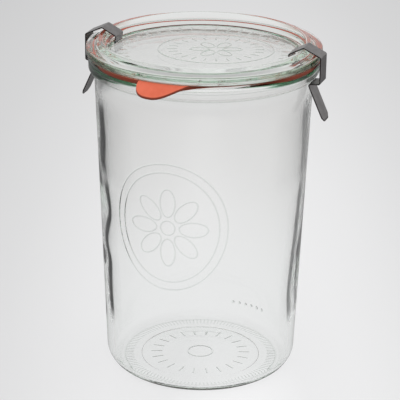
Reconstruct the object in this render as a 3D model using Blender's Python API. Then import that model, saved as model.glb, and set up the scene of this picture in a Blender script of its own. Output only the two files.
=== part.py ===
"""Canning jar: a straight glass jar with a glass lid, a flat rubber sealing ring with a pull tab,
and two spring steel clamps that hook inside the lid's ridge and catch under the jar's rim bead.

Metres, +Z up. The origin is the centre of the jar's foot, on the surface that it stands on.
Radii are measured from the jar's axis. Each moving piece has its origin on its joint's axis.
"""

from math import atan2, cos, degrees, pi, radians, sin, sqrt, tan

import bmesh
import bpy
from mathutils import Vector

MM = 0.001

# Jar
JAR_HEIGHT = 151.5 * MM
BODY_RADIUS_AT_HEEL = 45.1 * MM
BODY_RADIUS_AT_NECK = 50.4 * MM
HEEL_RADIUS = 9.0 * MM
WALL = 3.3 * MM
BASE_THICKNESS = 5.5 * MM
FOOT_WIDTH = 6.6 * MM
PUSH_UP_DEPTH = 2.0 * MM
INNER_CORNER_RADIUS = 5.0 * MM
BEAD_OVERHANG = 2.6 * MM
BEAD_HEIGHT = 6.0 * MM
BEAD_LOWER_RADIUS = 1.9 * MM
BEAD_UPPER_RADIUS = 1.0 * MM
NECK_FILLET = 0.7 * MM
MOUTH_EDGE_RADIUS = 0.6 * MM

# Clearances
SEAT_GAP = 0.3 * MM
PLUG_CLEARANCE = 1.1 * MM
HOOK_CLEARANCE = 0.5 * MM
ROOF_CLEARANCE = 1.7 * MM
SIDE_CLEARANCE = 2.0 * MM
NECK_CLEARANCE = 0.2 * MM

# Sealing ring
RING_WIDTH = 6.9 * MM
RING_THICKNESS = 1.3 * MM
TAB_REACH = 6.0 * MM
TAB_BASE_WIDTH = 36.0 * MM
TAB_END_WIDTH = 1.4 * MM
TAB_DROOP = radians(48)
TAB_BEND_LENGTH = 2.0 * MM
TAB_AZIMUTH = radians(-114)

# Lid
FLANGE_THICKNESS = 4.6 * MM
FLANGE_EDGE_RADIUS = 0.9 * MM
PLUG_DEPTH = 5.0 * MM
PLUG_CORNER_RADIUS = 1.2 * MM
PANEL_THICKNESS = 5.4 * MM
FLANGE_LAND = 3.6 * MM
RIDGE_HEIGHT = 1.6 * MM
RIDGE_OUTER_SLOPE = 2.1 * MM
RIDGE_CREST_WIDTH = 1.8 * MM
RIDGE_INNER_SLOPE = 3.5 * MM
RECESS_FILLET = 0.6 * MM

# Clamps
STRIP_THICKNESS = 0.6 * MM
STRIP_WIDTH = 9.5 * MM
STRIP_BEND_RADIUS = 0.8 * MM
HOOK_LEAN = 0.5 * MM
SHOULDER_DROP = 1.9 * MM
PEAK_SHARE = 0.46
LIP_TILT = 0.3 * MM
TAIL_LENGTH = 18.8 * MM
TAIL_ANGLE = radians(24.5)
TAIL_CHAMFER = 2.0 * MM
CLAMP_AZIMUTHS = {"clamp_left": radians(162.5), "clamp_right": radians(-19.0)}

# Mesh resolution
TURN_STEPS = 64
ARC_STEP = radians(18)
TAB_STEPS = 26
RING_RADIAL_STEPS = 5

# Worked out from the sizes above
FOOT_RADIUS = BODY_RADIUS_AT_HEEL - HEEL_RADIUS
BEAD_BOTTOM = JAR_HEIGHT - BEAD_HEIGHT
BEAD_RADIUS = BODY_RADIUS_AT_NECK + BEAD_OVERHANG
MOUTH_RADIUS = BODY_RADIUS_AT_NECK - WALL
RING_INNER_RADIUS = MOUTH_RADIUS
RING_OUTER_RADIUS = RING_INNER_RADIUS + RING_WIDTH
RING_BOTTOM = JAR_HEIGHT + SEAT_GAP
LID_RADIUS = RING_OUTER_RADIUS
FLANGE_BOTTOM = RING_BOTTOM + RING_THICKNESS + SEAT_GAP
FLANGE_TOP = FLANGE_BOTTOM + FLANGE_THICKNESS
PLUG_RADIUS = RING_INNER_RADIUS - PLUG_CLEARANCE
PLUG_BOTTOM = FLANGE_BOTTOM - PLUG_DEPTH
RIDGE_FOOT_RADIUS = LID_RADIUS - FLANGE_LAND
RIDGE_TOP = FLANGE_TOP + RIDGE_HEIGHT
CREST_OUTER_RADIUS = RIDGE_FOOT_RADIUS - RIDGE_OUTER_SLOPE
CREST_INNER_RADIUS = CREST_OUTER_RADIUS - RIDGE_CREST_WIDTH
RECESS_RADIUS = CREST_INNER_RADIUS - RIDGE_INNER_SLOPE
RECESS_FLOOR = PLUG_BOTTOM + PANEL_THICKNESS


def arc(centre_r, centre_z, radius, start_degrees, end_degrees):
    """Points along an arc in the radius and height plane, both ends included."""
    start = radians(start_degrees)
    turn = radians(end_degrees) - start
    steps = max(2, round(abs(turn) / ARC_STEP))
    return [
        (centre_r + radius * cos(start + turn * i / steps), centre_z + radius * sin(start + turn * i / steps))
        for i in range(steps + 1)
    ]


def fillet(before, corner, after, radius):
    """The arc that rounds a corner of an outline, from the side of `before` to the side of `after`."""
    here = Vector(corner)
    back = (Vector(before) - here).normalized()
    ahead = (Vector(after) - here).normalized()
    half = back.angle(ahead) / 2
    run = radius / tan(half)
    middle = here + (back + ahead).normalized() * radius / sin(half)
    first = here + back * run - middle
    last = here + ahead * run - middle
    turn = (atan2(last.y, last.x) - atan2(first.y, first.x) + pi) % (2 * pi) - pi
    start = degrees(atan2(first.y, first.x))
    return arc(middle.x, middle.y, radius, start, start + degrees(turn))


def rounded(corners):
    """An outline from (radius, height, fillet radius) corners, with the ends left as they are."""
    points = [corners[0][:2]]
    for before, corner, after in zip(corners, corners[1:], corners[2:]):
        if corner[2] > 0:
            points += fillet(before[:2], corner[:2], after[:2], corner[2])
        else:
            points.append(corner[:2])
    points.append(corners[-1][:2])
    return points


def material(name, colour, roughness, metallic=0.0, transmission=0.0):
    made = bpy.data.materials.new(name)
    made.use_nodes = True
    made.diffuse_color = (*colour, 1.0)
    shader = made.node_tree.nodes["Principled BSDF"]
    shader.inputs["Base Color"].default_value = (*colour, 1.0)
    shader.inputs["Roughness"].default_value = roughness
    shader.inputs["Metallic"].default_value = metallic
    shader.inputs["Transmission Weight"].default_value = transmission
    shader.inputs["IOR"].default_value = 1.5
    return made


def finish_object(name, mesh_data, surface, parent=None):
    """Links a bmesh as a named object with its faces outwards and its round faces shaded smooth."""
    bmesh.ops.recalc_face_normals(mesh_data, faces=mesh_data.faces)
    mesh = bpy.data.meshes.new(name)
    mesh_data.to_mesh(mesh)
    mesh_data.free()
    mesh.shade_smooth()
    mesh.set_sharp_from_angle(angle=radians(40))
    mesh.materials.append(surface)
    made = bpy.data.objects.new(name, mesh)
    bpy.context.scene.collection.objects.link(made)
    made.parent = parent
    return made


def turned(name, outline, base_height, surface, parent=None):
    """A solid turned about the jar's axis. The outline runs from the axis outwards and back to it."""
    built = bmesh.new()
    profile = [built.verts.new((r, 0, z - base_height)) for r, z in outline]
    edges = [built.edges.new(pair) for pair in zip(profile, profile[1:])]
    bmesh.ops.spin(
        built,
        geom=profile + edges,
        cent=(0, 0, 0),
        axis=(0, 0, 1),
        angle=2 * pi,
        steps=TURN_STEPS,
    )
    bmesh.ops.remove_doubles(built, verts=built.verts, dist=1e-6)
    return finish_object(name, built, surface, parent)


def jar_outline():
    """Underside, heel, wall, bead, rim and the inside, from the axis below to the axis inside."""
    lean = degrees(atan2(BODY_RADIUS_AT_NECK - BODY_RADIUS_AT_HEEL, BEAD_BOTTOM - HEEL_RADIUS))
    bead_arc_r = BEAD_RADIUS - BEAD_LOWER_RADIUS
    bead_arc_z = BEAD_BOTTOM + BEAD_LOWER_RADIUS
    push_up_radius = FOOT_RADIUS - FOOT_WIDTH
    rise = [(0, PUSH_UP_DEPTH), (push_up_radius - PUSH_UP_DEPTH, PUSH_UP_DEPTH), (push_up_radius, 0)]
    heel = arc(FOOT_RADIUS, HEEL_RADIUS, HEEL_RADIUS, -90, -lean)
    neck = fillet(heel[-1], (BODY_RADIUS_AT_NECK, BEAD_BOTTOM), (bead_arc_r, BEAD_BOTTOM), NECK_FILLET)
    lower_bead = arc(bead_arc_r, bead_arc_z, BEAD_LOWER_RADIUS, -90, 0)
    upper_bead = arc(BEAD_RADIUS - BEAD_UPPER_RADIUS, JAR_HEIGHT - BEAD_UPPER_RADIUS, BEAD_UPPER_RADIUS, 0, 90)
    mouth = arc(MOUTH_RADIUS + MOUTH_EDGE_RADIUS, JAR_HEIGHT - MOUTH_EDGE_RADIUS, MOUTH_EDGE_RADIUS, 90, 180)
    inner_floor_radius = BODY_RADIUS_AT_HEEL - WALL - INNER_CORNER_RADIUS
    inner_corner_z = BASE_THICKNESS + INNER_CORNER_RADIUS
    inner_corner = arc(inner_floor_radius, inner_corner_z, INNER_CORNER_RADIUS, -lean, -90)
    return rise + heel + neck + lower_bead + upper_bead + mouth + inner_corner + [(0, BASE_THICKNESS)]


def lid_outline():
    """Plug, flange, ridge and recessed panel, from the axis below to the axis above."""
    corners = [
        (0, PLUG_BOTTOM, 0),
        (PLUG_RADIUS, PLUG_BOTTOM, PLUG_CORNER_RADIUS),
        (PLUG_RADIUS, FLANGE_BOTTOM, 0),
        (LID_RADIUS, FLANGE_BOTTOM, FLANGE_EDGE_RADIUS / 2),
        (LID_RADIUS, FLANGE_TOP, FLANGE_EDGE_RADIUS),
        (RIDGE_FOOT_RADIUS, FLANGE_TOP, RIDGE_HEIGHT),
        (CREST_OUTER_RADIUS, RIDGE_TOP, RIDGE_HEIGHT / 2),
        (CREST_INNER_RADIUS, RIDGE_TOP, RIDGE_HEIGHT / 2),
        (RECESS_RADIUS, RECESS_FLOOR, RECESS_FILLET),
        (0, RECESS_FLOOR, 0),
    ]
    return rounded(corners)


def smooth_step(share):
    share = min(max(share, 0.0), 1.0)
    return share * share * (3 - 2 * share)


def ring_reach(azimuth):
    """The ring's outer radius at an azimuth, longer where the tab is."""
    away = abs((azimuth - TAB_AZIMUTH + pi) % (2 * pi) - pi) * RING_OUTER_RADIUS
    share = (TAB_BASE_WIDTH / 2 - away) / (TAB_BASE_WIDTH / 2 - TAB_END_WIDTH / 2)
    return RING_OUTER_RADIUS + TAB_REACH * smooth_step(share)


def tab_drop(radius):
    """How far the tab hangs below the ring's plane at a radius."""
    out = max(radius - RING_OUTER_RADIUS, 0.0)
    return tan(TAB_DROOP) * out * out / (out + TAB_BEND_LENGTH)


def ring_azimuths():
    """Even steps round the ring, closer together across the tab."""
    half = TAB_BASE_WIDTH / 2 / RING_OUTER_RADIUS
    rest_steps = round(TURN_STEPS * (1 - half / pi))
    across = [TAB_AZIMUTH - half + 2 * half * i / TAB_STEPS for i in range(TAB_STEPS)]
    rest = [TAB_AZIMUTH + half + 2 * (pi - half) * i / rest_steps for i in range(rest_steps)]
    return across + rest


def build_ring(surface, parent):
    built = bmesh.new()
    sections = []
    for azimuth in ring_azimuths():
        reach = ring_reach(azimuth) - RING_INNER_RADIUS
        radii = [RING_INNER_RADIUS + reach * i / RING_RADIAL_STEPS for i in range(RING_RADIAL_STEPS + 1)]
        lower = [(r, -tab_drop(r)) for r in radii]
        upper = [(r, RING_THICKNESS - tab_drop(r)) for r in reversed(radii)]
        sections.append([built.verts.new((r * cos(azimuth), r * sin(azimuth), z)) for r, z in lower + upper])
    for here, there in zip(sections, sections[1:] + sections[:1]):
        for i in range(len(here)):
            following = (i + 1) % len(here)
            built.faces.new((here[i], there[i], there[following], here[following]))
    made = finish_object("sealing_ring", built, surface, parent)
    made.location = (0, 0, RING_BOTTOM)
    return made


def clamp_corners():
    """The strip's bends as (radius, height) on its middle, from the hook's tip to the tail's end."""
    half = STRIP_THICKNESS / 2
    hook_radius = sqrt((RECESS_RADIUS - HOOK_CLEARANCE) ** 2 - (STRIP_WIDTH / 2) ** 2) - half
    shoulder_radius = hook_radius - HOOK_LEAN
    shoulder_height = RIDGE_TOP - SHOULDER_DROP
    side_radius = LID_RADIUS + SIDE_CLEARANCE + half
    peak_radius = shoulder_radius + (side_radius - shoulder_radius) * PEAK_SHARE
    lip_radius = BODY_RADIUS_AT_NECK + NECK_CLEARANCE + half
    lip_height = BEAD_BOTTOM - SEAT_GAP - half
    return [
        (hook_radius, RECESS_FLOOR + HOOK_CLEARANCE),
        (shoulder_radius, shoulder_height),
        (peak_radius, RIDGE_TOP + ROOF_CLEARANCE),
        (side_radius, FLANGE_TOP - SIDE_CLEARANCE / 4),
        (side_radius, lip_height + LIP_TILT),
        (lip_radius, lip_height),
        (lip_radius + TAIL_LENGTH * sin(TAIL_ANGLE), lip_height - TAIL_LENGTH * cos(TAIL_ANGLE)),
    ]


def build_clamp(name, azimuth, surface, parent):
    """A bent strip with its origin where its hook bears, inside the lid's ridge."""
    corners = clamp_corners()
    pivot = corners[0]
    bends = [0] + [STRIP_BEND_RADIUS] * (len(corners) - 2) + [0]
    path = [Vector(point) for point in rounded([(*point, bend) for point, bend in zip(corners, bends)])]
    tail = (path[-1] - path[-2]).normalized()
    path.insert(-1, path[-1] - tail * TAIL_CHAMFER)
    built = bmesh.new()
    sections = []
    for i, point in enumerate(path):
        along = (path[min(i + 1, len(path) - 1)] - path[max(i - 1, 0)]).normalized()
        out = Vector((-along.y, along.x)) * STRIP_THICKNESS / 2
        half_width = STRIP_WIDTH / 2 - (TAIL_CHAMFER if i == len(path) - 1 else 0)
        sections.append(
            [
                built.verts.new((spot.x - pivot[0], side * half_width, spot.y - pivot[1]))
                for spot, side in ((point + out, -1), (point + out, 1), (point - out, 1), (point - out, -1))
            ]
        )
    for here, there in zip(sections, sections[1:]):
        for i in range(4):
            following = (i + 1) % 4
            built.faces.new((here[i], here[following], there[following], there[i]))
    built.faces.new(sections[0])
    built.faces.new(sections[-1])
    made = finish_object(name, built, surface, parent)
    made.location = (pivot[0] * cos(azimuth), pivot[0] * sin(azimuth), pivot[1] - FLANGE_BOTTOM)
    made.rotation_euler = (0, 0, azimuth)
    return made


def build():
    for leftover in list(bpy.data.objects):
        bpy.data.objects.remove(leftover, do_unlink=True)
    glass = material("green_tinted_glass", (0.90, 0.96, 0.93), 0.02, transmission=1.0)
    lid_glass = material("lid_glass", (0.90, 0.96, 0.93), 0.02, transmission=1.0)
    rubber = material("orange_rubber", (0.80, 0.19, 0.10), 0.45)
    steel = material("brushed_spring_steel", (0.42, 0.40, 0.40), 0.32, metallic=1.0)
    jar = turned("jar", jar_outline(), 0, glass)
    ring = build_ring(rubber, jar)
    lid = turned("lid", lid_outline(), FLANGE_BOTTOM, lid_glass, ring)
    lid.location = (0, 0, FLANGE_BOTTOM - RING_BOTTOM)
    for name, azimuth in CLAMP_AZIMUTHS.items():
        build_clamp(name, azimuth, steel, lid)


build()
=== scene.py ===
"""Canning jar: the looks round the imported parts. Jar and lid are turned glass with their pressed relief,
the sealing ring is rubber with its pull tab, and the clamps are bent strips of brushed spring steel.

Metres, +Z up, in the frame of the parts: the origin is the centre of the jar's foot.
"""

from math import atan2, cos, degrees, hypot, pi, radians, sin, sqrt, tan

import bmesh
import bpy
import numpy as np
from mathutils import Matrix, Vector


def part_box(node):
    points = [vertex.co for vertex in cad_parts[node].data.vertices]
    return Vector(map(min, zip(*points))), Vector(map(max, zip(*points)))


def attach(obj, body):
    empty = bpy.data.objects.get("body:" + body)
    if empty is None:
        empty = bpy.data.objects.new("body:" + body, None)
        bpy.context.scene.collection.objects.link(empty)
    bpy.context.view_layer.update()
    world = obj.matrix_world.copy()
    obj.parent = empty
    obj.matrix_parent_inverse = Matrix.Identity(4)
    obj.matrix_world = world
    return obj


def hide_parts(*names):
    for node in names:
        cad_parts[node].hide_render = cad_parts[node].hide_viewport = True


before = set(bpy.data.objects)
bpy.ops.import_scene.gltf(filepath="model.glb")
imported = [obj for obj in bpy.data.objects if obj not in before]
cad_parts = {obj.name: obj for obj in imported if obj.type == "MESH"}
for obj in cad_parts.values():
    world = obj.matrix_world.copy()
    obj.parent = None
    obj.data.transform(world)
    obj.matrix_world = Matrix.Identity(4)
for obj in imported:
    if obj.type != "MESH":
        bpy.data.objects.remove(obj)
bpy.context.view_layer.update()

MM = 0.001

# Sizes read from the parts
JAR_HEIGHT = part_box("jar")[1].z
BEAD_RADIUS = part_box("jar")[1].x
LID_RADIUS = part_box("lid")[1].x
LID_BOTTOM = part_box("lid")[0].z
LID_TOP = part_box("lid")[1].z

# Jar
BODY_RADIUS_AT_HEEL = 45.1 * MM
BODY_RADIUS_AT_NECK = 50.4 * MM
HEEL_RADIUS = 9.0 * MM
WALL = 2.9 * MM
BASE_THICKNESS = 3.4 * MM
FOOT_WIDTH = 7.6 * MM
FOOT_EDGE = 0.5 * MM
FOOT_EDGE_STEP = 0.1 * MM
PUSH_UP_DEPTH = 1.15 * MM
PUSH_UP_STEP = 0.25 * MM
STEP_ROUND = 0.15 * MM
INNER_CORNER_RADIUS = 3.6 * MM
BEAD_HEIGHT = 6.0 * MM
BEAD_LOWER_RADIUS = 1.9 * MM
BEAD_UPPER_RADIUS = 1.0 * MM
NECK_FILLET = 0.7 * MM
MOUTH_EDGE_RADIUS = 0.6 * MM
SEAM_DROP = 2.1 * MM
SEAM_HALF_WIDTH = 0.3 * MM
SEAM_RELIEF = 0.08 * MM
MOUTH_DEPTH = 7.0 * MM
MOUTH_RADIUS = 47.1 * MM

# The pressed wall is uneven inside: azimuth, height, spread and how much thicker each wave makes it
WALL_WAVES = (
    (180, 79.0, 9.0, 0.4),
    (180, 62.0, 6.0, -0.2),
    (180, 103.0, 7.0, -0.15),
    (0, 42.0, 17.0, 0.5),
    (0, 95.0, 22.0, -0.35),
    (90, 92.0, 14.0, 0.5),
    (90, 45.0, 12.0, -0.4),
    (-90, 70.0, 16.0, 0.4),
)
WAVE_BREADTH = radians(38)
WAVE_FADE = 12 * MM

# Sealing ring. It meets the lid between two radii, and over a wider zone at the left
RING_TOUCH = 0.03 * MM
RING_EDGE_RADIUS = 0.3 * MM
RING_SET_BACK = 0.75 * MM
RING_PRESS = 0.02 * MM
RING_CONTACT = (50.9 * MM, 53.6 * MM)
CONTACT_FADE = 0.3 * MM
WIDE_CONTACT = 3.2 * MM
WIDE_CONTACT_AZIMUTH = radians(168)
WIDE_CONTACT_BREADTH = radians(22)
TAB_THICKNESS = 1.05 * MM
TAB_REACH = 5.59 * MM
TAB_DROOP = radians(51)
TAB_BEND_LENGTH = 2.0 * MM
TAB_PEAK_AZIMUTH = radians(-112.7)
TAB_STEEP_WIDTH = 8.2 * MM
TAB_TAPER_WIDTH = 18.8 * MM
TAB_STEPS = 110
RING_STEPS = 320
RING_ROWS = 31

# Where the ring lies further in under the lid: azimuth, breadth and how far
RING_DRAWN_IN = (
    (radians(-74), radians(21), 4.8 * MM),
    (radians(180), radians(28), 2.8 * MM),
)

# Lid
SEAT = 1.9 * MM
FLANGE_THICKNESS = 4.6 * MM
FLANGE_EDGE_RADIUS = 0.9 * MM
PLUG_CLEARANCE = 1.1 * MM
PLUG_CORNER_RADIUS = 1.2 * MM
PANEL_THICKNESS = 5.4 * MM
FLANGE_LAND = 3.6 * MM
LAND_FALL = 0.75 * MM
RIDGE_HEIGHT = 1.6 * MM
RIDGE_OUTER_SLOPE = 2.1 * MM
RIDGE_CREST_WIDTH = 1.8 * MM
RIDGE_INNER_SLOPE = 3.5 * MM
RECESS_FILLET = 0.6 * MM
PANEL_MARGIN = 1.5 * MM

# Clamps
STRIP_THICKNESS = 0.6 * MM
STRIP_WIDTH = 9.5 * MM
STRIP_EDGE_ROUND = 0.12 * MM
STRIP_BEND_RADIUS = 0.8 * MM
HOOK_LEAN = 0.5 * MM
HOOK_CLEARANCE = 0.5 * MM
ROOF_CLEARANCE = 1.68 * MM
SIDE_CLEARANCE = 2.0 * MM
NECK_CLEARANCE = 0.2 * MM
SEAT_GAP = 0.3 * MM
SHOULDER_DROP = 1.9 * MM
PEAK_SHARE = 0.46
LIP_TILT = 0.3 * MM
TAIL_LENGTH = 18.8 * MM
TAIL_ANGLE = radians(24.5)
TAIL_CHAMFER = 2.0 * MM
CLAMP_AZIMUTHS = {"clamp_left": radians(162.5), "clamp_right": radians(-19.0)}

# Pressed relief. Bars: count, inner and outer radius. Petals: count, distance out, half length, half width
LINE_WIDTH = 1.15 * MM
EMBLEM_AZIMUTH = radians(-108.7)
EMBLEM_HEIGHT = 84.5 * MM
EMBLEM_HALF_WIDTH = 27.5 * MM
EMBLEM_HALF_HEIGHT = 30.5 * MM
EMBLEM_INNER_OVAL = (0.86, 0.87)
EMBLEM_PETALS = (8, 12.0 * MM, 6.6 * MM, 3.5 * MM)
EMBLEM_EYE_RADIUS = 3.4 * MM
EMBLEM_RELIEF = 0.2 * MM
LID_OVAL_CENTRE = (5.4 * MM, 3.0 * MM)
LID_OVAL_HALF_WIDTH = 26.6 * MM
LID_OVAL_HALF_DEPTH = 23.0 * MM
LID_OVAL_BARS = (24, 18.5 * MM, 22.0 * MM)
LID_PETALS = (6, 7.5 * MM, 4.4 * MM, 2.6 * MM)
LID_PANEL_BARS = (40, 35.5 * MM, 39.0 * MM)
LID_RELIEF = 0.1 * MM
BASE_BARS = (22, 19.0 * MM, 23.5 * MM)
BASE_CIRCLE_RADIUS = 6.0 * MM
BASE_RELIEF = 0.16 * MM
FOOT_TICKS = (120, 32.6 * MM, 36.4 * MM)
FOOT_TICK_DEPTH = 0.05 * MM
MOULD_DOTS = 6
MOULD_DOT_AZIMUTHS = (radians(44), radians(68))
MOULD_DOT_HEIGHT = 10.6 * MM
MOULD_DOT_RADIUS = 0.4 * MM
MOULD_DOT_RELIEF = 0.3 * MM

# Steps round a turned mesh
COLUMNS = 240

# Worked out from the sizes above
FOOT_RADIUS = BODY_RADIUS_AT_HEEL - HEEL_RADIUS
BEAD_BOTTOM = JAR_HEIGHT - BEAD_HEIGHT
SEAM_HEIGHT = JAR_HEIGHT - SEAM_DROP
PUSH_UP_RADIUS = FOOT_RADIUS - FOOT_WIDTH
FLANGE_BOTTOM = JAR_HEIGHT + SEAT
FLANGE_TOP = FLANGE_BOTTOM + FLANGE_THICKNESS
PLUG_RADIUS = MOUTH_RADIUS - PLUG_CLEARANCE
RIDGE_FOOT_RADIUS = LID_RADIUS - FLANGE_LAND
CREST_OUTER_RADIUS = RIDGE_FOOT_RADIUS - RIDGE_OUTER_SLOPE
CREST_INNER_RADIUS = CREST_OUTER_RADIUS - RIDGE_CREST_WIDTH
RECESS_RADIUS = CREST_INNER_RADIUS - RIDGE_INNER_SLOPE
RECESS_FLOOR = LID_BOTTOM + PANEL_THICKNESS
PANEL_RADIUS = RECESS_RADIUS - PANEL_MARGIN

# Painted dark reflections along the edges of the inner wall, where it would mirror the dark room: from,
# fade in, to, fade out
LOWER_EDGE = (24 * MM, 10 * MM, 104 * MM, 12 * MM)
UPPER_EDGE = (92 * MM, 12 * MM, BEAD_BOTTOM - 6 * MM, 10 * MM)
NECK_EDGE = (134 * MM, 7 * MM, BEAD_BOTTOM + 4.5 * MM, 2 * MM)

# How much higher the neck's dark line starts at the right than at the left
NECK_EDGE_RISE = 80 * MM

# How strong the painted reflections are at the right, and how much more so at the left, away from the light
LOWER_EDGE_STRENGTH = (0.75, 0.25)
UPPER_EDGE_STRENGTH = (0.65, 0.35)

# The jar rim's deep colour, its own with painted shade in it: how far down it reaches, how much further at
# the left, and its fade's share
RIM_DEPTH = 2.1 * MM
RIM_DEPTH_LEFT = 4.0 * MM
RIM_FADE_SHARE = 0.4

# Its strength, and how much more there is on the bead's outside, within a width and a fade
RIM_STRENGTH = 0.9
RIM_OUTSIDE_STRENGTH = 2.3
RIM_OUTSIDE = (1.6 * MM, 0.8 * MM)

# That extra part leaves out the back: the sine of the azimuth where it ends, and its fade
RIM_OUTSIDE_END = (0.6, 0.4)

# Where the rim's painted shade stays light, at the front, and by how much
LIGHT_RIM_AZIMUTH = radians(-85)
LIGHT_RIM_BREADTH = radians(32)
LIGHT_RIM_SHARE = 0.95

# The lid's thick edge, deep in colour with painted shade in it: how far in it starts, and its fade
LID_EDGE_DEPTH = 1.0 * MM
LID_EDGE_FADE = 0.6 * MM

# Fine lines of painted shade outside: height or radius, and half the width
NECK_LINE = (BEAD_BOTTOM - 0.3 * MM, 0.4 * MM)
BEAD_LINE = (BEAD_BOTTOM + 0.35 * MM, 0.35 * MM)
SEAM_LINE = (SEAM_HEIGHT, 0.2 * MM)
SEAM_LINE_STRENGTH = (0.3, 0.7)
FOOT_LINE = (FOOT_RADIUS + FOOT_EDGE, 0.4 * MM)

# The faint grey tint, painted shade that darkens towards the top: where it starts and how soon it is full,
# and the clear zone under the neck
TINT_RISE = (30 * MM, 100 * MM)
CLEAR_ZONE = (BEAD_BOTTOM - 2 * MM, 3 * MM)
CLEAR_ZONE_SHARE = 0.9


# Places round the jar's axis


def turn_from(azimuths, at):
    """The turn from one azimuth to others, between half a turn back and half a turn on."""
    return (azimuths - at + pi) % (2 * pi) - pi


def azimuth_of(points):
    return np.arctan2(points[:, 1], points[:, 0])


def reach_of(points):
    return np.hypot(points[:, 0], points[:, 1])


def round_axis(radii, azimuths, heights):
    return np.stack([radii * np.cos(azimuths), radii * np.sin(azimuths), heights], -1)


# Outlines in the radius and height plane


def arc(centre_r, centre_z, radius, start_degrees, end_degrees, step=8):
    turn = end_degrees - start_degrees
    steps = max(3, round(abs(turn) / step))
    angles = [radians(start_degrees + turn * i / steps) for i in range(steps + 1)]
    return [(centre_r + radius * cos(a), centre_z + radius * sin(a)) for a in angles]


def fillet(before, corner, after, radius):
    """The arc that rounds a corner of an outline, from the side of `before` to the side of `after`."""
    here = Vector(corner)
    back = (Vector(before) - here).normalized()
    ahead = (Vector(after) - here).normalized()
    half = back.angle(ahead) / 2
    middle = here + (back + ahead).normalized() * radius / sin(half)
    first = here + back * radius / tan(half) - middle
    last = here + ahead * radius / tan(half) - middle
    start = atan2(first.y, first.x)
    turn = turn_from(atan2(last.y, last.x), start)
    return arc(middle.x, middle.y, radius, degrees(start), degrees(start) + degrees(turn))


def rounded(corners):
    """An outline from (radius, height, fillet radius) corners, with the ends left as they are."""
    points = [corners[0][:2]]
    for before, corner, after in zip(corners, corners[1:], corners[2:]):
        if corner[2] > 0:
            points += fillet(before[:2], corner[:2], after[:2], corner[2])
        else:
            points.append(corner[:2])
    points.append(corners[-1][:2])
    return points


def face(name, points, step):
    """Names the points of one face of an outline, with none further than `step` from the next."""
    out = []
    for (r0, z0), (r1, z1) in zip(points, points[1:]):
        count = max(1, round(hypot(r1 - r0, z1 - z0) / step))
        out += [(r0 + (r1 - r0) * i / count, z0 + (z1 - z0) * i / count, name) for i in range(count)]
    return out + [(*points[-1], name)]


def joined(*faces):
    """One outline from faces that each start where the last one ends."""
    out = list(faces[0])
    for points in faces[1:]:
        out += points[1:]
    return out


def body_radius(height):
    share = (height - HEEL_RADIUS) / (BEAD_BOTTOM - HEEL_RADIUS)
    return BODY_RADIUS_AT_HEEL + (BODY_RADIUS_AT_NECK - BODY_RADIUS_AT_HEEL) * share


def jar_outline():
    lean = degrees(atan2(BODY_RADIUS_AT_NECK - BODY_RADIUS_AT_HEEL, BEAD_BOTTOM - HEEL_RADIUS))
    dome_radius = PUSH_UP_RADIUS - PUSH_UP_STEP / 2
    dome = [(r, PUSH_UP_DEPTH - (PUSH_UP_DEPTH - PUSH_UP_STEP) * (r / dome_radius) ** 2, 0)
            for r in np.linspace(0, dome_radius - 1 * MM, 24).tolist()]
    foot_edge = FOOT_RADIUS + FOOT_EDGE
    heel = arc(FOOT_RADIUS, HEEL_RADIUS, HEEL_RADIUS, -80, -lean, step=5)
    under = rounded(dome + [
        (dome_radius, PUSH_UP_STEP, STEP_ROUND),
        (PUSH_UP_RADIUS, 0, STEP_ROUND),
        (foot_edge - 2.5 * FOOT_EDGE_STEP, 0, STEP_ROUND),
        (foot_edge, FOOT_EDGE_STEP, STEP_ROUND),
        (*heel[0], 0),
    ])
    bead_centre = BEAD_RADIUS - BEAD_LOWER_RADIUS
    neck = fillet(heel[-1], (BODY_RADIUS_AT_NECK, BEAD_BOTTOM), (bead_centre, BEAD_BOTTOM), NECK_FILLET)
    below_neck = neck[0][1] - NECK_FILLET / 2
    bead = neck + arc(bead_centre, BEAD_BOTTOM + BEAD_LOWER_RADIUS, BEAD_LOWER_RADIUS, -90, 0)
    bead += rounded([
        (*bead[-1], 0),
        (BEAD_RADIUS, SEAM_HEIGHT - SEAM_HALF_WIDTH, STEP_ROUND),
        (BEAD_RADIUS + SEAM_RELIEF, SEAM_HEIGHT, STEP_ROUND),
        (BEAD_RADIUS, SEAM_HEIGHT + SEAM_HALF_WIDTH, STEP_ROUND),
        (BEAD_RADIUS, JAR_HEIGHT - BEAD_UPPER_RADIUS, 0),
    ])[1:-1]
    bead += arc(BEAD_RADIUS - BEAD_UPPER_RADIUS, JAR_HEIGHT - BEAD_UPPER_RADIUS, BEAD_UPPER_RADIUS, 0, 90)
    mouth_edge = JAR_HEIGHT - MOUTH_EDGE_RADIUS
    bead += arc(MOUTH_RADIUS + MOUTH_EDGE_RADIUS, mouth_edge, MOUTH_EDGE_RADIUS, 90, 180)
    below_mouth = (MOUTH_RADIUS, JAR_HEIGHT - MOUTH_DEPTH)
    inner_top = (BODY_RADIUS_AT_NECK - WALL, BEAD_BOTTOM - MOUTH_DEPTH)
    inner_floor = BODY_RADIUS_AT_HEEL - WALL - INNER_CORNER_RADIUS
    corner = arc(inner_floor, BASE_THICKNESS + INNER_CORNER_RADIUS, INNER_CORNER_RADIUS, -lean, -90, step=6)
    return joined(
        face("under", under, 1.2 * MM),
        face("heel", heel, 0.8 * MM),
        face("wall", [heel[-1], (body_radius(below_neck), below_neck), neck[0]], 1.2 * MM),
        face("bead", bead, 0.9 * MM),
        face("mouth", [bead[-1], below_mouth, inner_top], 1.2 * MM),
        face("inside", [inner_top, corner[0]], 2.4 * MM),
        face("inner corner", corner, 0.9 * MM),
        face("floor", [corner[-1], (0, BASE_THICKNESS)], 3.0 * MM),
    )


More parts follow.
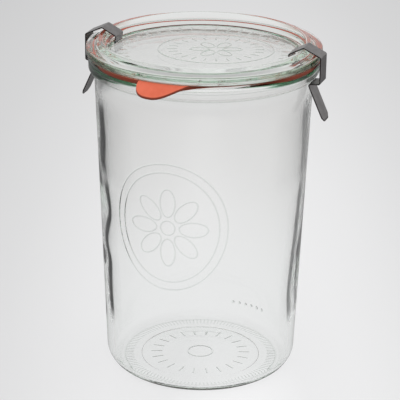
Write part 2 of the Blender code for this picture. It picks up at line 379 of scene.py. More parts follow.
def lid_outline():
    rim = rounded([
        (0, LID_BOTTOM, 0),
        (PLUG_RADIUS, LID_BOTTOM, PLUG_CORNER_RADIUS),
        (PLUG_RADIUS, FLANGE_BOTTOM, 0.3 * MM),
        (LID_RADIUS, FLANGE_BOTTOM, FLANGE_EDGE_RADIUS / 2),
        (LID_RADIUS, FLANGE_TOP - LAND_FALL, FLANGE_EDGE_RADIUS),
        (RIDGE_FOOT_RADIUS, FLANGE_TOP, RIDGE_HEIGHT),
        (CREST_OUTER_RADIUS, LID_TOP, RIDGE_HEIGHT / 2),
        (CREST_INNER_RADIUS, LID_TOP, RIDGE_HEIGHT / 2),
        (RECESS_RADIUS, RECESS_FLOOR, RECESS_FILLET),
        (PANEL_RADIUS, RECESS_FLOOR, 0),
    ])
    return joined(face("rim", rim, 1.0 * MM), face("panel", [rim[-1], (0, RECESS_FLOOR)], 1.2 * MM))


# Relief: how far points in a plane are from the lines of a pattern


def to_oval(across, up, half_width, half_height):
    size = np.maximum(np.hypot(across / half_width, up / half_height), 1e-6)
    slope = np.hypot(across / half_width**2, up / half_height**2) / size
    return np.abs(size - 1) / np.maximum(slope, 0.3 / max(half_width, half_height))


def to_petals(across, up, count, reach, half_length, half_width):
    """A ring of outlined petals that point outwards."""
    near = np.full(across.shape, 1.0)
    for i in range(count):
        turn = 2 * pi * i / count
        along = across * cos(turn) + up * sin(turn) - reach
        beside = up * cos(turn) - across * sin(turn)
        near = np.minimum(near, to_oval(along, beside, half_length, half_width))
    return near


def to_bars(across, up, count, inner, outer):
    """A ring of short radial bars."""
    pitch = 2 * pi / count
    angle = np.arctan2(up, across) / pitch
    reach = np.hypot(across, up)
    beside = reach * np.sin((angle - np.round(angle)) * pitch)
    past = np.maximum(np.maximum(inner - reach, reach - outer), 0)
    return np.hypot(beside, past)


def to_emblem(points):
    """Two upright ovals round an eight-petalled flower, on the front of the body."""
    across = turn_from(azimuth_of(points), EMBLEM_AZIMUTH) * body_radius(EMBLEM_HEIGHT)
    up = points[:, 2] - EMBLEM_HEIGHT
    inner_width = EMBLEM_HALF_WIDTH * EMBLEM_INNER_OVAL[0]
    inner_height = EMBLEM_HALF_HEIGHT * EMBLEM_INNER_OVAL[1]
    near = to_oval(across, up, EMBLEM_HALF_WIDTH, EMBLEM_HALF_HEIGHT)
    near = np.minimum(near, to_oval(across, up, inner_width, inner_height))
    near = np.minimum(near, to_petals(across, up, *EMBLEM_PETALS))
    return np.minimum(near, to_oval(across, up, EMBLEM_EYE_RADIUS, EMBLEM_EYE_RADIUS))


def to_mould_dots(points):
    """A short row of dots low on the wall, as a mould's number is marked."""
    near = np.full(len(points), 1.0)
    for azimuth in np.linspace(*MOULD_DOT_AZIMUTHS, MOULD_DOTS):
        dot = Vector((cos(azimuth), sin(azimuth), 0)) * body_radius(MOULD_DOT_HEIGHT)
        dot.z = MOULD_DOT_HEIGHT
        near = np.minimum(near, np.linalg.norm(points - np.array(dot), axis=1))
    return np.maximum(near - MOULD_DOT_RADIUS, 0)


def to_lid_pattern(points):
    """An oval with a ring of bars and a small flower in it, and a ring of bars round the panel's edge."""
    across = points[:, 0] - LID_OVAL_CENTRE[0]
    up = points[:, 1] - LID_OVAL_CENTRE[1]
    near = to_oval(across, up, LID_OVAL_HALF_WIDTH, LID_OVAL_HALF_DEPTH)
    round_up = up * LID_OVAL_HALF_WIDTH / LID_OVAL_HALF_DEPTH
    near = np.minimum(near, to_bars(across, round_up, *LID_OVAL_BARS))
    near = np.minimum(near, to_petals(across, up, *LID_PETALS))
    return np.minimum(near, to_bars(points[:, 0], points[:, 1], *LID_PANEL_BARS))


def to_base_pattern(points):
    """A ring of bars round a small circle, in the push-up."""
    near = to_bars(points[:, 0], points[:, 1], *BASE_BARS)
    return np.minimum(near, to_oval(points[:, 0], points[:, 1], BASE_CIRCLE_RADIUS, BASE_CIRCLE_RADIUS))


def to_foot_ticks(points):
    """Close radial ticks on the ring that the jar stands on."""
    return to_bars(points[:, 0], points[:, 1], *FOOT_TICKS)


def soft_line(distance, width):
    """A rounded ridge: 1 along its middle and 0 from half its width on."""
    return smooth_step(1 - distance / (width / 2))


def smooth_step(share):
    share = np.clip(share, 0, 1)
    return share * share * (3 - 2 * share)


def band(level, bottom, rise, top, fall):
    """0 outside two levels, and up to 1 between them over the given distances."""
    return smooth_step((level - bottom) / rise) * smooth_step((top - level) / fall)


def thin_line(level, at, half_width):
    return np.exp(-(((level - at) / half_width) ** 2))


def near_azimuth(azimuths, at, breadth):
    """1 near an azimuth, and 0 further than about 1.3 times the breadth from it."""
    return np.exp(-((turn_from(azimuths, at) / breadth) ** 4))


def wall_wave(azimuths, height):
    """How much thicker the wall is than its mean, round one level."""
    thicker = np.zeros(len(azimuths))
    for at, level, spread, depth in WALL_WAVES:
        away = turn_from(azimuths, radians(at))
        rise = (height / MM - level) / spread
        thicker += depth * MM * np.exp(-(away**2) / WAVE_BREADTH**2 - rise**2)
    return thicker


# Meshes


def link(name, mesh):
    made = bpy.data.objects.new(name, mesh)
    bpy.context.scene.collection.objects.link(made)
    return made


def mark(mesh, name, values):
    """A number at each point that a material reads by name."""
    layer = mesh.attributes.new(name, "FLOAT", "POINT")
    layer.data.foreach_set("value", np.asarray(values, np.float32))


def turned(name, outline, thinner):
    """A closed body turned about the jar's axis; `thinner` says how far a level of a face moves inwards."""
    azimuths = np.linspace(-pi, pi, COLUMNS, endpoint=False)
    rings = outline[1:-1]
    points = []
    for r, z, where in rings:
        radii = r - thinner(where, azimuths, z)
        points.append(round_axis(radii, azimuths, np.full(COLUMNS, z)))
    poles = [(0, 0, outline[0][1]), (0, 0, outline[-1][1])]
    first = np.arange(COLUMNS)
    after = np.roll(first, -1)
    quads = []
    for i in range(len(rings) - 1):
        low = i * COLUMNS
        high = low + COLUMNS
        quads.append(np.stack([low + first, low + after, high + after, high + first], -1))
    pole = len(rings) * COLUMNS
    top_ring = pole - COLUMNS
    caps = [(pole, after[i], first[i]) for i in range(COLUMNS)]
    caps += [(pole + 1, top_ring + first[i], top_ring + after[i]) for i in range(COLUMNS)]
    mesh = bpy.data.meshes.new(name)
    mesh.from_pydata(np.concatenate([*points, poles]).tolist(), [], np.concatenate(quads).tolist() + caps)
    mesh.shade_smooth()
    return link(name, mesh)


def pressed(made, surface, distance, relief, cuts=3):
    """Presses a pattern's lines into one surface of a mesh. The faces near the lines are divided first.

    `surface` says which points lie on it, `distance` how far they are from a line, and `relief` where a
    point goes for a line's share from 0 to 1.
    """
    shape = bmesh.new()
    shape.from_mesh(made.data)
    centres = np.array([flat.calc_center_median() for flat in shape.faces])
    near = surface(centres) & (distance(centres) < LINE_WIDTH)
    edges = {edge for flat, hit in zip(shape.faces, near) if hit for edge in flat.edges}
    bmesh.ops.subdivide_edges(shape, edges=list(edges), cuts=cuts, use_grid_fill=True)
    points = np.array([point.co for point in shape.verts])
    on = np.flatnonzero(surface(points))
    moved = relief(points[on], soft_line(distance(points[on]), LINE_WIDTH))
    shape.verts.ensure_lookup_table()
    for i, place in zip(on, moved):
        shape.verts[i].co = place
    # Each point's share of a line, which the glass greys as painted shade
    shares = np.zeros(len(points))
    shares[on] = soft_line(distance(points[on]), LINE_WIDTH)
    kept = shape.verts.layers.float.get("relief") or shape.verts.layers.float.new("relief")
    for point, share in zip(shape.verts, shares):
        point[kept] = max(point[kept], share)
    shape.to_mesh(made.data)
    shape.free()


def on_wall(points):
    reach = reach_of(points)
    level = (points[:, 2] > HEEL_RADIUS * 1.05) & (points[:, 2] < BEAD_BOTTOM - 2 * NECK_FILLET)
    return level & (np.abs(reach - body_radius(points[:, 2])) < 0.1 * MM)


def on_push_up(points):
    reach = reach_of(points)
    level = (points[:, 2] > PUSH_UP_STEP) & (points[:, 2] < PUSH_UP_DEPTH + 0.1 * MM)
    return level & (reach < PUSH_UP_RADIUS - 1 * MM)


def on_foot(points):
    reach = reach_of(points)
    return (np.abs(points[:, 2]) < 0.01 * MM) & (reach > PUSH_UP_RADIUS + 2 * MM)


def on_panel(points):
    reach = reach_of(points)
    return (np.abs(points[:, 2] - RECESS_FLOOR) < 0.01 * MM) & (reach < PANEL_RADIUS)


def outwards(depth):
    """A relief that stands out from the turned wall by `depth`."""
    def place(points, share):
        return round_axis(body_radius(points[:, 2]) + depth * share, azimuth_of(points), points[:, 2])
    return place


def upwards(depth):
    """A relief that moves a level face up by `depth`."""
    def place(points, share):
        return points + np.stack([0 * share, 0 * share, depth * share], -1)
    return place


def wall_thinner(where, azimuths, z):
    """How far a level of the jar moves inwards: only the inside of its wall has waves."""
    if where != "inside":
        return 0
    low = BASE_THICKNESS + INNER_CORNER_RADIUS
    return wall_wave(azimuths, z) * band(z, low, WAVE_FADE, BEAD_BOTTOM - MOUTH_DEPTH, WAVE_FADE)


def leftness(azimuths):
    """1 at the jar's left and 0 at its right."""
    return (1 - np.cos(azimuths)) / 2


def lightness(azimuths):
    """1 at the front, where the rim's painted shade stays light."""
    return near_azimuth(azimuths, LIGHT_RIM_AZIMUTH, LIGHT_RIM_BREADTH)


def mark_painted_edge_reflections(mesh, reach, height, azimuths):
    """Where the inner wall gets painted dark reflections along its edges, stronger at the left, away from
    the light.
    """
    left = leftness(azimuths)
    inner = (reach < body_radius(height) - WALL / 3) & (height > BASE_THICKNESS + INNER_CORNER_RADIUS)
    low = inner * band(height, *LOWER_EDGE)
    high = inner * band(height, *UPPER_EDGE)
    start = NECK_EDGE[0] + NECK_EDGE_RISE * (1 - left)
    neck = inner * band(height, start, *NECK_EDGE[1:])
    mark(mesh, "upper_edge", high * (UPPER_EDGE_STRENGTH[0] + UPPER_EDGE_STRENGTH[1] * left))
    mark(mesh, "lower_edge", low * (LOWER_EDGE_STRENGTH[0] + LOWER_EDGE_STRENGTH[1] * left))
    mark(mesh, "double_edge", low * (1 - left))
    mark(mesh, "neck_edge", neck * left**3)


def mark_rim_colour_and_shade(mesh, reach, height, azimuths):
    """Where the rim's thick glass is deep in colour, with painted shade in it: least at the front, and
    furthest down at the left.
    """
    depth = RIM_DEPTH + RIM_DEPTH_LEFT * leftness(azimuths) ** 12
    thick = smooth_step((height - JAR_HEIGHT + depth) / (RIM_FADE_SHARE * depth))
    front = smooth_step((RIM_OUTSIDE_END[0] - np.sin(azimuths)) / RIM_OUTSIDE_END[1])
    outside = smooth_step((reach - BEAD_RADIUS + RIM_OUTSIDE[0]) / RIM_OUTSIDE[1])
    strength = RIM_STRENGTH + RIM_OUTSIDE_STRENGTH * front * outside
    mark(mesh, "thick_edge_and_shade", strength * thick * (1 - LIGHT_RIM_SHARE * lightness(azimuths)))


def mark_painted_top_shade(mesh, height):
    """Where the glass gets a faint grey of painted shade: more towards the top, and hardly just under the
    neck.
    """
    tint = smooth_step((height - TINT_RISE[0]) / TINT_RISE[1])
    mark(mesh, "tint", tint * (1 - CLEAR_ZONE_SHARE * thin_line(height, *CLEAR_ZONE)))


def mark_painted_shade_lines(mesh, reach, height, azimuths):
    """Fine grey lines of painted shade along the neck, the bead, its mould seam and the foot, beside those
    of the relief.
    """
    left = leftness(azimuths)
    outer = reach > body_radius(height) - WALL / 3
    neck = outer * thin_line(height, *NECK_LINE)
    bead = outer * thin_line(height, *BEAD_LINE)
    seam = outer * thin_line(height, *SEAM_LINE)
    seam = seam * (SEAM_LINE_STRENGTH[0] + SEAM_LINE_STRENGTH[1] * lightness(azimuths))
    foot = (height < 1 * MM) * thin_line(reach, *FOOT_LINE)
    mark(mesh, "neck_line", np.maximum(neck, bead) * left**2)
    relief = np.zeros(len(height), np.float32)
    layer = mesh.attributes["relief"].data
    layer.foreach_get("value", relief)
    relief = np.maximum.reduce([relief, neck * (1 - left**2), seam, foot])
    layer.foreach_set("value", relief.astype(np.float32))


def build_jar():
    made = turned("jar_body", jar_outline(), wall_thinner)
    pressed(made, on_wall, to_emblem, outwards(EMBLEM_RELIEF), cuts=4)
    pressed(made, on_wall, to_mould_dots, outwards(MOULD_DOT_RELIEF), cuts=5)
    pressed(made, on_push_up, to_base_pattern, upwards(-BASE_RELIEF))
    pressed(made, on_foot, to_foot_ticks, upwards(FOOT_TICK_DEPTH))
    points = np.array([point.co for point in made.data.vertices])
    reach = reach_of(points)
    height = points[:, 2]
    azimuths = azimuth_of(points)
    mark_painted_edge_reflections(made.data, reach, height, azimuths)
    mark_rim_colour_and_shade(made.data, reach, height, azimuths)
    mark_painted_top_shade(made.data, height)
    mark_painted_shade_lines(made.data, reach, height, azimuths)
    return made


def build_lid():
    made = turned("glass_lid", lid_outline(), lambda where, azimuths, z: 0)
    pressed(made, on_panel, to_lid_pattern, upwards(LID_RELIEF))
    points = np.array([point.co for point in made.data.vertices])
    reach = reach_of(points)
    # The lid's thick edge, deep in colour with painted shade in it
    below_land = smooth_step((FLANGE_TOP - LAND_FALL - LID_EDGE_FADE - points[:, 2]) / LID_EDGE_FADE)
    at_edge = smooth_step((reach - LID_RADIUS + LID_EDGE_DEPTH) / LID_EDGE_FADE)
    mark(made.data, "thick_edge_and_shade", at_edge * below_land)
    # The lid has the grey all over
    mark(made.data, "tint", np.ones(len(points)))
    return made


def ring_azimuths():
    """Azimuths round the ring: close together at the tab, and closest at its steep side."""
    steep = TAB_PEAK_AZIMUTH - TAB_STEEP_WIDTH / LID_RADIUS
    end = TAB_PEAK_AZIMUTH + TAB_TAPER_WIDTH / LID_RADIUS
    sharp = np.arange(steep - radians(0.3), steep + radians(1.2), radians(0.04))
    fine = np.linspace(sharp[-1], end, TAB_STEPS)[1:]
    rest = np.linspace(end, sharp[0] + 2 * pi, RING_STEPS)[1:-1]
    return np.concatenate([sharp, fine, rest])


def tab_share(azimuths):
    """How much of the tab's reach there is at an azimuth: steep on the left, a long taper on the right."""
    away = turn_from(azimuths, TAB_PEAK_AZIMUTH) * LID_RADIUS
    left = np.clip(1 + away / TAB_STEEP_WIDTH, 0, 1)
    steep = np.cbrt(1 - (1 - left) ** 3)
    return np.where(away < 0, steep, smooth_step(1 - away / TAB_TAPER_WIDTH))


def build_ring():
    """The flat rubber ring, with its edges rounded and its pull tab bent down over the bead."""
    azimuths = ring_azimuths()
    steps = len(azimuths)
    set_back = RING_SET_BACK * (1 + np.sin(azimuths))
    for at, breadth, depth in RING_DRAWN_IN:
        set_back += depth * near_azimuth(azimuths, at, breadth)
    wide = near_azimuth(azimuths, WIDE_CONTACT_AZIMUTH, WIDE_CONTACT_BREADTH)
    contact = RING_CONTACT[0] - WIDE_CONTACT * wide
    tab = tab_share(azimuths)
    outer = LID_RADIUS + tab * TAB_REACH - set_back * (1 - smooth_step(tab * 3))
    bottom = JAR_HEIGHT + RING_TOUCH
    thickness = FLANGE_BOTTOM - RING_TOUCH - bottom
    across = np.linspace(0, 1, RING_ROWS)
    levels = (0.12, 0.5, 0.88)
    section = [(share, 0.0) for share in across] + [(1.0, level) for level in levels]
    section += [(share, 1.0) for share in across[::-1]] + [(0.0, level) for level in levels[::-1]]
    points = []
    cut = []
    for share, level in section:
        corner = RING_EDGE_RADIUS * abs(2 * level - 1) ** 6
        r = MOUTH_RADIUS + corner + (outer - MOUTH_RADIUS - 2 * corner) * share
        past = np.clip(r - LID_RADIUS, 0, None)
        drop = tan(TAB_DROOP) * past * past / (past + TAB_BEND_LENGTH)
        thinned = thickness - (thickness - TAB_THICKNESS) * smooth_step(past / (2 * MM))
        z = bottom + thickness - thinned * (1 - level) - drop
        if level == 1:
            held = band(r, contact, CONTACT_FADE, RING_CONTACT[1], CONTACT_FADE)
            z += (RING_TOUCH + RING_PRESS) * held
        points.append(round_axis(r, azimuths, z))
        cut += [1.0 if 0 < level < 1 else 0.0] * steps
    first = np.arange(steps)
    after = np.roll(first, -1)
    quads = []
    for i in range(len(section)):
        low = i * steps
        high = (i + 1) % len(section) * steps
        quads.append(np.stack([high + first, high + after, low + after, low + first], -1))
    mesh = bpy.data.meshes.new("rubber_ring")
    mesh.from_pydata(np.concatenate(points).tolist(), [], np.concatenate(quads).tolist())
    mesh.shade_smooth()
    # The side faces, which get painted shade
    mark(mesh, "painted_edge_shade", cut)
    return link("rubber_ring", mesh)


def clamp_corners():
    """The strip's bends as (radius, height) on its middle, from the hook's tip to the tail's end."""
    half = STRIP_THICKNESS / 2
    hook_radius = sqrt((RECESS_RADIUS - HOOK_CLEARANCE) ** 2 - (STRIP_WIDTH / 2) ** 2) - half
    shoulder_radius = hook_radius - HOOK_LEAN
    side_radius = LID_RADIUS + SIDE_CLEARANCE + half
    peak_radius = shoulder_radius + (side_radius - shoulder_radius) * PEAK_SHARE
    lip_radius = BODY_RADIUS_AT_NECK + NECK_CLEARANCE + half
    lip_height = BEAD_BOTTOM - SEAT_GAP - half
    return [
        (hook_radius, RECESS_FLOOR + HOOK_CLEARANCE),
        (shoulder_radius, LID_TOP - SHOULDER_DROP),
        (peak_radius, LID_TOP + ROOF_CLEARANCE),
        (side_radius, FLANGE_TOP - SIDE_CLEARANCE / 4),
        (side_radius, lip_height + LIP_TILT),
        (lip_radius, lip_height),
        (lip_radius + TAIL_LENGTH * sin(TAIL_ANGLE), lip_height - TAIL_LENGTH * cos(TAIL_ANGLE)),
    ]


def clamp_section():
    """Points round the strip's section as (share of half its width, share of half its thickness, edge)."""
    in_from_edge = 1 - STRIP_EDGE_ROUND / (STRIP_WIDTH / 2)
    across = np.linspace(-in_from_edge, in_from_edge, 7)
    below = [(share, -1.0, 0.0) for share in across]
    above = [(share, 1.0, 0.0) for share in across[::-1]]
    return below + [(1.0, -0.5, 1.0), (1.0, 0.5, 1.0)] + above + [(-1.0, 0.5, 1.0), (-1.0, -0.5, 1.0)]


def build_clamp(name, azimuth):
    """One bent strip, swept along its path, with the corners of its tail cut off."""
    corners = clamp_corners()
    bends = [0] + [STRIP_BEND_RADIUS] * (len(corners) - 2) + [0]
    outline = rounded([(*corner, bend) for corner, bend in zip(corners, bends)])
    path = [Vector(point[:2]) for point in face("strip", outline, 1.0 * MM)]
    lengths = np.concatenate([[0], np.cumsum([(b - a).length for a, b in zip(path, path[1:])])])
    outward = Vector((cos(azimuth), sin(azimuth), 0))
    sideways = Vector((-sin(azimuth), cos(azimuth), 0))
    section = clamp_section()
    verts = []
    edge = []
    along_strip = []
    for i, point in enumerate(path):
        ahead = (path[min(i + 1, len(path) - 1)] - path[max(i - 1, 0)]).normalized()
        normal = Vector((-ahead.y, ahead.x)) * STRIP_THICKNESS / 2
        left = lengths[-1] - lengths[i]
        half_width = STRIP_WIDTH / 2 - max(TAIL_CHAMFER - left, 0)
        end = 1.0 if i in (0, len(path) - 1) else 0.0
        for share, level, side in section:
            spot = point + normal * level
            verts.append(outward * spot.x + sideways * half_width * share + Vector((0, 0, spot.y)))
            edge.append(max(side, end))
            along_strip.append((share * half_width, lengths[i]))
    count = len(section)
    faces = []
    for i in range(len(path) - 1):
        for j in range(count):
            k = (j + 1) % count
            faces.append((i * count + j, (i + 1) * count + j, (i + 1) * count + k, i * count + k))
    faces.append(tuple(range(count)))
    last = (len(path) - 1) * count
    faces.append(tuple(last + j for j in range(count))[::-1])
    mesh = bpy.data.meshes.new(name)
    mesh.from_pydata(verts, [], faces)
    mesh.shade_smooth()
    mesh.set_sharp_from_angle(angle=radians(40))
    # The edges and ends, which get painted shade
    mark(mesh, "painted_edge_shade", edge)
    flat = mesh.uv_layers.new(name="strip")
    for loop in mesh.loops:
        across, along = along_strip[loop.vertex_index]
        flat.data[loop.index].uv = (across / STRIP_WIDTH + 0.5, along / STRIP_WIDTH)
    return link(name, mesh)


# Materials


class Nodes:
    """Adds nodes to a material's tree, with settings by name and inputs by number or name."""

    def __init__(self, tree):
        self.tree = tree

    def add(self, kind, inputs=None, **settings):
        node = self.tree.nodes.new("ShaderNode" + kind)
        for setting, value in settings.items():
            setattr(node, setting, value)
        for socket, value in (inputs or {}).items():
            if isinstance(value, bpy.types.NodeSocket):
                self.tree.links.new(value, node.inputs[socket])
            else:
                node.inputs[socket].default_value = value
        return node

    def math(self, operation, a, b):
        return self.add("Math", {0: a, 1: b}, operation=operation).outputs[0]

    def mixed(self, factor, a, b, blend="MIX"):
        """A colour between two others, or with a share of the second multiplied in."""
        node = self.add("Mix", data_type="RGBA", blend_type=blend)
        for socket, value in zip(("Factor", "A", "B"), (factor, a, b)):
            if isinstance(value, bpy.types.NodeSocket):
                self.tree.links.new(value, node.inputs[socket])
            else:
                node.inputs[socket].default_value = value
        return node.outputs["Result"]

    def ramp(self, factor, stops):
        """Grey levels, or colours, at places from 0 to 1."""
        node = self.add("ValToRGB", {"Fac": factor})
        elements = node.color_ramp.elements
        elements[0].position = stops[0][0]
        elements[1].position = stops[-1][0]
        for place, _ in stops[1:-1]:
            elements.new(place)
        for element, (_, value) in zip(elements, stops):
            element.color = value if isinstance(value, tuple) else (value, value, value, 1)
        return node.outputs["Color"]

    def noise(self, scale, detail=2.0, stretch=(1, 1, 1), place="Object"):
        """Noise with `scale` features to a metre, or to a unit of the flat map."""
        where = self.add("TexCoord").outputs[place]
        spread = self.add("Mapping", {"Vector": where, "Scale": stretch}).outputs["Vector"]
        return self.add("TexNoise", {"Vector": spread, "Scale": scale, "Detail": detail}).outputs["Fac"]

    def value(self, name):
        return self.add("Attribute", attribute_name=name).outputs["Fac"]

    def bump(self, height, strength, distance):
        inputs = {"Height": height, "Strength": strength, "Distance": distance}
        return self.add("Bump", inputs).outputs["Normal"]


def new_material(name):
    made = bpy.data.materials.new(name)
    made.use_nodes = True
    tree = made.node_tree
    return made, Nodes(tree), tree.nodes["Principled BSDF"]


# Glass
GLASS_IOR = 1.5
GLASS_GREEN = (0.55, 0.83, 0.62, 1.0)
JAR_DENSITY = 6.0
LID_DENSITY = 7.0
CLEAR = (1, 1, 1, 1)
# A grey of painted shade in the glass: rising towards the jar's top, and even all over the lid
TINT = (0.956, 0.950, 0.947, 1)
# Painted shade: grey on the relief's lines, and a darker grey on the neck's lines
RELIEF_PAINTED_SHADE = (0.72, 0.76, 0.73, 1)
NECK_PAINTED_SHADE = (0.3, 0.33, 0.29, 1)
# The painted dark reflection on the inner wall's edges
PAINTED_REFLECTION_DARK = (0.004, 0.005, 0.004, 1)
# Deep colours of the thick edges, mid and deepest: the glass's own green with painted shade in it
JAR_EDGE = ((0.16, 0.42, 0.24, 1), (0.003, 0.035, 0.008, 1))
LID_EDGE = ((0.55, 0.56, 0.46, 1), (0.12, 0.12, 0.085, 1))

# The painted dark reflections on the inner wall, by how far it turns away from the view
PAINTED_EDGE_REFLECTIONS = {
    "upper_edge": [
        (0.13, 0.0), (0.198, 0.1), (0.226, 0.2), (0.242, 0.45), (0.247, 1.0), (0.268, 1.0), (0.28, 0.0),
    ],
    "lower_edge": [(0.2, 0.0), (0.240, 0.12), (0.246, 1.0), (0.260, 1.0), (0.266, 0.1), (0.28, 0.0)],
    "double_edge": [(0.278, 0.0), (0.282, 0.8), (0.288, 0.8), (0.293, 0.0)],
    "neck_edge": [(0.1, 0.0), (0.24, 0.7), (0.4, 0.8), (0.55, 0.75), (0.7, 0.3)],
}

# Rubber and steel
RUBBER_TONES = [(0.35, (0.84, 0.165, 0.085, 1)), (0.65, (0.93, 0.2, 0.11, 1))]
RUBBER_SPECKS = (0.92, 0.30, 0.19, 1)
# Painted shade for the rubber's cut edges
RUBBER_EDGE_SHADE = (0.24, 0.042, 0.018, 1)
STEEL_TONES = [(0.35, (0.18, 0.171, 0.171, 1)), (0.7, (0.265, 0.253, 0.253, 1))]
STEEL_STREAKS = (0.30, 0.29, 0.29, 1)
# Painted shade for the steel's sheared edges and ends
STEEL_EDGE_SHADE = (0.035, 0.03, 0.03, 1)


def glass(name, density, edge_colours, with_wall):
    """Pressed soda glass: a faint green tint, slow ripples and the finest of smudges. The thick rim is
    deeper in colour where it is seen along its length, its own colour with painted shade in it. Painted
    shade also greys the relief, the neck's lines and the glass towards the top, and on the jar painted dark
    reflections line the inner wall's edges."""
    made, nodes, shader = new_material(name)
    shader.inputs["Transmission Weight"].default_value = 1.0
    shader.inputs["IOR"].default_value = GLASS_IOR
    facing = nodes.add("LayerWeight", {"Blend": 0.5}).outputs["Facing"]
    # The thick edges' deep colour where seen along them, partly painted shade
    grazing = nodes.ramp(facing, [(0.12, 0.0), (0.5, 1.0)])
    along_rim = nodes.math("MULTIPLY", grazing, nodes.value("thick_edge_and_shade"))
    rim = nodes.ramp(along_rim, [(0.1, CLEAR), (0.33, edge_colours[0]), (0.7, edge_colours[1])])
    # The grey of painted shade
    tinted = nodes.mixed(nodes.value("tint"), rim, TINT, "MULTIPLY")
    # Painted shade on the neck's lines and on the relief
    lined = nodes.mixed(nodes.value("neck_line"), tinted, NECK_PAINTED_SHADE)
    colour = nodes.mixed(nodes.value("relief"), lined, RELIEF_PAINTED_SHADE)
    if with_wall:
        colour, clear = painted_edge_reflections(nodes, colour)
        nodes.tree.links.new(clear, shader.inputs["Transmission Weight"])
    nodes.tree.links.new(colour, shader.inputs["Base Color"])
    smudges = nodes.ramp(nodes.noise(45, 4), [(0.45, 0.0), (0.8, 0.035)])
    nodes.tree.links.new(smudges, shader.inputs["Roughness"])
    ripples = nodes.bump(nodes.noise(55, 1), 0.25, 0.0004)
    nodes.tree.links.new(ripples, shader.inputs["Normal"])
    green = nodes.add("VolumeAbsorption", {"Color": GLASS_GREEN, "Density": density})
    nodes.tree.links.new(green.outputs["Volume"], nodes.tree.nodes["Material Output"].inputs["Volume"])
    return made


def painted_edge_reflections(nodes, colour):
    """Painted dark reflections on the inner wall, where it would mirror the dark room as light in the glass
    meets it
    near its angle of total reflection: the colour with them in it, and how much light goes through."""
    facing = nodes.add("LayerWeight", {"Blend": 0.5}).outputs["Facing"]
    from_glass = nodes.add("NewGeometry").outputs["Backfacing"]
    dark = 0.0
    for name, stops in PAINTED_EDGE_REFLECTIONS.items():
        line = nodes.math("MULTIPLY", nodes.ramp(facing, stops), nodes.value(name))
        dark = nodes.math("MAXIMUM", line, dark)
    dark = nodes.math("MULTIPLY", dark, from_glass)
    return nodes.mixed(dark, colour, PAINTED_REFLECTION_DARK), nodes.math("SUBTRACT", 1.0, dark)


def rubber(name):
    """Orange natural rubber: mottled and finely pitted, with painted shade on its cut edges."""
    made, nodes, shader = new_material(name)
    mottle = nodes.ramp(nodes.noise(160, 5), RUBBER_TONES)
    specks = nodes.ramp(nodes.noise(1500, 2), [(0.62, 0.0), (0.72, 0.5)])
    speckled = nodes.mixed(specks, mottle, RUBBER_SPECKS)
    # Painted shade on the cut edges
    colour = nodes.mixed(nodes.value("painted_edge_shade"), speckled, RUBBER_EDGE_SHADE)
    nodes.tree.links.new(colour, shader.inputs["Base Color"])
    shine = nodes.ramp(nodes.noise(300, 3), [(0.3, 0.42), (0.7, 0.6)])
    nodes.tree.links.new(shine, shader.inputs["Roughness"])
    pits = nodes.bump(nodes.noise(2600, 2), 0.35, 0.00012)
    nodes.tree.links.new(pits, shader.inputs["Normal"])
    shader.inputs["Specular IOR Level"].default_value = 0.25
    shader.inputs["Sheen Weight"].default_value = 0.06
    return made


def steel(name):
    """Spring steel strip with a grain along its length and scuffs, with painted shade on its sheared edges.
    """
    made, nodes, shader = new_material(name)
    grain = nodes.noise(30, 3, (6, 0.25, 1), "UV")
    scuffs = nodes.noise(3, 5, (1, 1, 1), "UV")
    worn = nodes.ramp(scuffs, STEEL_TONES)
    streaked = nodes.mixed(nodes.ramp(grain, [(0.35, 0.0), (0.7, 0.5)]), worn, STEEL_STREAKS)
    # Painted shade on the sheared edges and ends
    colour = nodes.mixed(nodes.value("painted_edge_shade"), streaked, STEEL_EDGE_SHADE)
    nodes.tree.links.new(colour, shader.inputs["Base Color"])
    shader.inputs["Metallic"].default_value = 1.0
    shine = nodes.ramp(grain, [(0.3, 0.28), (0.7, 0.46)])
    nodes.tree.links.new(shine, shader.inputs["Roughness"])
    nodes.tree.links.new(nodes.bump(grain, 0.3, 0.00008), shader.inputs["Normal"])
    return made


# Stage, light and camera

FLOOR_REACH = 5.0
FLOOR_DROP = 0.02 * MM
LENS = 159.14
SENSOR = 36.0
CAMERA_PLACE = (0, -779.06 * MM, 379.27 * MM)
CAMERA_PITCH = -0.3660
CAMERA_TURN = 0.0014
CAMERA_ROLL = 0.0129

# The floor's own colour as light falls on it, and the part of it that is added where it is seen
FLOOR_COLOUR = (0.76, 0.755, 0.76, 1)
FLOOR_SEEN_COLOUR = (0.1, 0.1, 0.1, 1)
# A painted pool of light round the object: its centre, stretch, levels by distance, and a touch more blue
LIGHT_POOL_CENTRE = (-0.02, 0.03, 0)
LIGHT_POOL_SCALE = (1.15, 0.2, 1.0)
LIGHT_POOL_LEVELS = [
    (0.0, 0.86), (0.022, 0.82), (0.043, 0.755), (0.072, 0.75), (0.1, 0.715),
    (0.15, 0.63), (0.2, 0.57), (0.28, 0.51), (0.9, 0.68),
]
LIGHT_POOL_BLUE = 1.008
# How much darker the floor is painted in its first mirror images
MIRRORED_DIMMING = 0.65

# The room's level from straight down to straight up, as it is seen and as it lights
ROOM_SEEN = [(0.0, 0.78), (0.62, 0.74), (0.72, 0.5), (0.80, 0.5), (0.9, 0.9)]
ROOM_LIGHT = [(0.0, 0.75), (1.0, 0.95)]

# Lamps: name, place, width and level
LAMPS = (
    ("overhead_softbox", (0.75, 0.55, 0.85), 1.25, 0.83),
    ("front_softbox", (-0.6, -0.8, 1.1), 0.9, 0.7),
)
LAMP_AIM = (0, 0, 0.08)


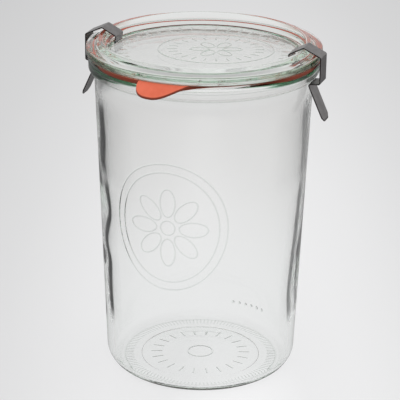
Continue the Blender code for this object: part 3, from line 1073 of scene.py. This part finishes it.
def build_floor():
    """A pale floor with a painted pool of light, a little brighter round the object than further off. What
    is seen of it, straight or in glass and metal, is mostly its own colour, so the object's shadow on it
    stays light; its first mirror images are painted darker."""
    reach = FLOOR_REACH
    mesh = bpy.data.meshes.new("floor")
    corners = [(-reach, -reach, 0), (reach, -reach, 0), (reach, reach, 0), (-reach, reach, 0)]
    mesh.from_pydata(corners, [], [(0, 1, 2, 3)])
    floor = link("floor", mesh)
    made, nodes, shader = new_material("pale_floor")
    shader.inputs["Roughness"].default_value = 0.9
    shader.inputs["Specular IOR Level"].default_value = 0.0
    path = nodes.add("LightPath").outputs
    seen = nodes.math("MAXIMUM", path["Is Camera Ray"], path["Is Glossy Ray"])
    seen = nodes.math("MAXIMUM", seen, path["Is Transmission Ray"])
    colour = nodes.mixed(seen, FLOOR_COLOUR, FLOOR_SEEN_COLOUR)
    nodes.tree.links.new(colour, shader.inputs["Base Color"])
    # The painted pool of light, where the floor is seen
    inputs = {0: nodes.add("TexCoord").outputs["Object"], "Location": LIGHT_POOL_CENTRE, "Scale": LIGHT_POOL_SCALE}
    place = nodes.add("Mapping", inputs).outputs[0]
    away = nodes.add("VectorMath", {0: place}, operation="LENGTH").outputs["Value"]
    pool = nodes.ramp(away, [(at, (value, value, value * LIGHT_POOL_BLUE, 1)) for at, value in LIGHT_POOL_LEVELS])
    nodes.tree.links.new(pool, shader.inputs["Emission Color"])
    # Painted darker where the floor is first mirrored
    first = nodes.math("LESS_THAN", path["Ray Depth"], 1.5)
    mirrored = nodes.math("MULTIPLY", path["Is Reflection Ray"], first)
    seen = nodes.math("SUBTRACT", seen, nodes.math("MULTIPLY", mirrored, MIRRORED_DIMMING))
    nodes.tree.links.new(seen, shader.inputs["Emission Strength"])
    mesh.materials.append(made)
    floor.location.z = -FLOOR_DROP


def build_world():
    """A pale room, brighter overhead."""
    world = bpy.data.worlds.new("studio")
    bpy.context.scene.world = world
    world.use_nodes = True
    nodes = Nodes(world.node_tree)
    back = world.node_tree.nodes["Background"]
    up = nodes.add("SeparateXYZ", {0: nodes.add("TexCoord").outputs["Generated"]}).outputs["Z"]
    room = nodes.ramp(up, ROOM_SEEN)
    plain = nodes.ramp(up, ROOM_LIGHT)
    bounced = nodes.math("GREATER_THAN", nodes.add("LightPath").outputs["Diffuse Depth"], 0.5)
    world.node_tree.links.new(nodes.mixed(bounced, room, plain), back.inputs["Color"])


def build_light(name, place, size, level):
    """A round softbox that faces the object, set so that glass and metal don't mirror its face."""
    data = bpy.data.lights.new(name, "AREA")
    data.shape = "DISK"
    data.size = size
    data.energy = level * pi * pi * (size / 2) ** 2
    lamp = bpy.data.objects.new(name, data)
    bpy.context.scene.collection.objects.link(lamp)
    lamp.visible_glossy = False
    lamp.visible_transmission = False
    lamp.location = place
    lamp.rotation_mode = "QUATERNION"
    lamp.rotation_quaternion = (Vector(LAMP_AIM) - Vector(place)).to_track_quat("-Z", "Y")


def build_camera():
    data = bpy.data.cameras.new("camera")
    data.lens = LENS
    data.sensor_width = SENSOR
    data.clip_start = 0.05
    data.clip_end = 30.0
    camera = bpy.data.objects.new("camera", data)
    bpy.context.scene.collection.objects.link(camera)
    turn = Matrix.Rotation(CAMERA_TURN, 4, "Z") @ Matrix.Rotation(pi / 2 + CAMERA_PITCH, 4, "X")
    turn = turn @ Matrix.Rotation(CAMERA_ROLL, 4, "Z")
    camera.matrix_world = Matrix.Translation(CAMERA_PLACE) @ turn
    bpy.context.scene.camera = camera


def dress(piece, material, node):
    """Gives a piece its material, and puts it in the place of its CAD node."""
    piece.data.materials.append(material)
    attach(piece, node)
    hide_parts(node)


def build():
    bpy.context.scene.view_settings.view_transform = "Standard"
    cycles = bpy.context.scene.cycles
    cycles.max_bounces = 32
    cycles.transmission_bounces = 32
    cycles.glossy_bounces = 16
    build_camera()
    dress(build_jar(), glass("clear_glass", JAR_DENSITY, JAR_EDGE, True), "jar")
    dress(build_lid(), glass("lid_glass", LID_DENSITY, LID_EDGE, False), "lid")
    dress(build_ring(), rubber("orange_rubber"), "sealing_ring")
    metal = steel("brushed_steel")
    for node, azimuth in CLAMP_AZIMUTHS.items():
        dress(build_clamp(node.replace("clamp", "steel_clamp"), azimuth), metal, node)
    build_floor()
    build_world()
    for lamp in LAMPS:
        build_light(*lamp)


build()
